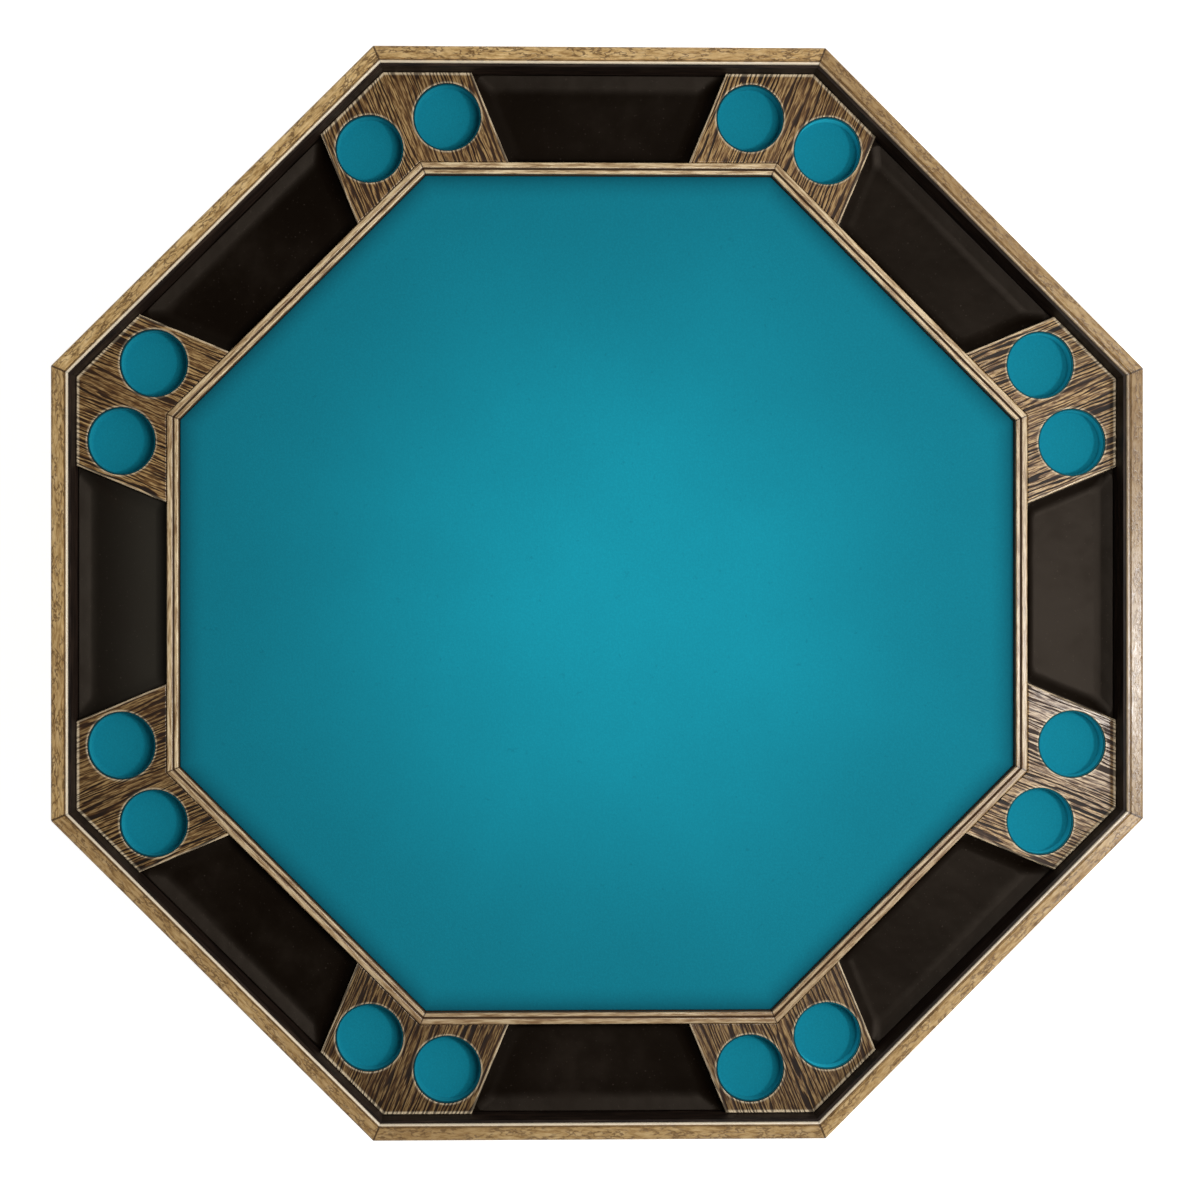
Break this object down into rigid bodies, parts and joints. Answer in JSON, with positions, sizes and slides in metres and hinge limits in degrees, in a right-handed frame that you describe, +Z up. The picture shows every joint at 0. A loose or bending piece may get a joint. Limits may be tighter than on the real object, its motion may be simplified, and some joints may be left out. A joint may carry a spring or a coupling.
{
  "type": "bumper pool table",
  "caption": "Octagonal combination game table: a lift-off card top with chip trays and cup wells over a bumper pool bed.",
  "frame": {"origin": "on the floor under the middle of the table", "axes": "+Z up; +X and +Y square to two of the eight sides; the pool bed's pockets lie on +Y and -Y"},
  "size_m": [1.2192, 1.2192, 0.762],
  "materials": {
    "rail_oak": "satin, light tan oak with open grain",
    "block_oak": "satin, dark walnut-stained brushed oak",
    "moulding_oak": "satin, pale oak",
    "lining_wood": "matte, very dark brown stain",
    "tray_plastic": "semi-gloss, moulded dark brown",
    "panel_board": "plain board, unfinished",
    "teal_felt": "short-napped woven felt, teal",
    "pad_felt": "thick dark felt",
    "screw_steel": "zinc-plated",
    "cabinet_oak": "satin, light tan oak with open grain",
    "frame_pine": "planed, unfinished",
    "box_plywood": "plain plywood",
    "bed_cloth_teal": "woven billiard cloth, teal",
    "cushion_rubber": "matte gum rubber",
    "bumper_plastic": "glossy ivory",
    "bumper_rubber": "matte red rubber",
    "liner_plastic": "matte black",
    "bolt_steel": "zinc-plated",
    "leveller_steel": "zinc-plated"
  },
  "bodies": {
    "cabinet": {"end_aprons": "cabinet_oak", "side_aprons": "cabinet_oak", "leg_aprons": "cabinet_oak", "glue_blocks": "frame_pine", "top_rails": "cabinet_oak", "cushion_rubbers": "cushion_rubber", "cushion_cloths": "bed_cloth_teal", "bed_board": "panel_board", "bed_cloth": "bed_cloth_teal", "bumper_posts": "bumper_plastic", "bumper_rings": "bumper_rubber", "bumper_screws": "screw_steel", "pocket_liners": "liner_plastic", "bed_beams": "frame_pine", "bed_ledgers": "frame_pine", "ball_box_back": "box_plywood", "ball_box_front": "box_plywood", "ball_box_felts": "bed_cloth_teal", "leg_1": "cabinet_oak", "leg_2": "cabinet_oak", "leg_3": "cabinet_oak", "leg_4": "cabinet_oak", "leg_bolts": "bolt_steel", "leg_inserts": "bolt_steel"},
    "poker_top": {"top_panel": "panel_board", "outer_rail_1": "rail_oak", "outer_rail_2": "rail_oak", "outer_rail_3": "rail_oak", "outer_rail_4": "rail_oak", "outer_rail_5": "rail_oak", "outer_rail_6": "rail_oak", "outer_rail_7": "rail_oak", "outer_rail_8": "rail_oak", "corner_block_1": "block_oak", "corner_block_2": "block_oak", "corner_block_3": "block_oak", "corner_block_4": "block_oak", "corner_block_5": "block_oak", "corner_block_6": "block_oak", "corner_block_7": "block_oak", "corner_block_8": "block_oak", "chip_tray_1": "tray_plastic", "chip_tray_2": "tray_plastic", "chip_tray_3": "tray_plastic", "chip_tray_4": "tray_plastic", "chip_tray_5": "tray_plastic", "chip_tray_6": "tray_plastic", "chip_tray_7": "tray_plastic", "chip_tray_8": "tray_plastic", "rail_lining": "lining_wood", "inner_moulding": "moulding_oak", "field_board": "panel_board", "playing_felt": "teal_felt", "cup_felts": "teal_felt", "top_rest_pads": "pad_felt", "block_screws": "screw_steel"},
    "leveller_1": {"leveller_1": "leveller_steel"},
    "leveller_2": {"leveller_2": "leveller_steel"},
    "leveller_3": {"leveller_3": "leveller_steel"},
    "leveller_4": {"leveller_4": "leveller_steel"}
  },
  "joints": [
    {"name": "top_lift", "type": "slide", "parent": "cabinet", "child": "poker_top", "axis": [0, 0, 1], "range_m": [0, 0.3]},
    {"name": "leveller_1_slide", "type": "slide", "parent": "cabinet", "child": "leveller_1", "axis": [0, 0, -1], "range_m": [-0.005, 0.02]},
    {"name": "leveller_2_slide", "type": "slide", "parent": "cabinet", "child": "leveller_2", "axis": [0, 0, -1], "range_m": [-0.005, 0.02]},
    {"name": "leveller_3_slide", "type": "slide", "parent": "cabinet", "child": "leveller_3", "axis": [0, 0, -1], "range_m": [-0.005, 0.02]},
    {"name": "leveller_4_slide", "type": "slide", "parent": "cabinet", "child": "leveller_4", "axis": [0, 0, -1], "range_m": [-0.005, 0.02]}
  ]
}
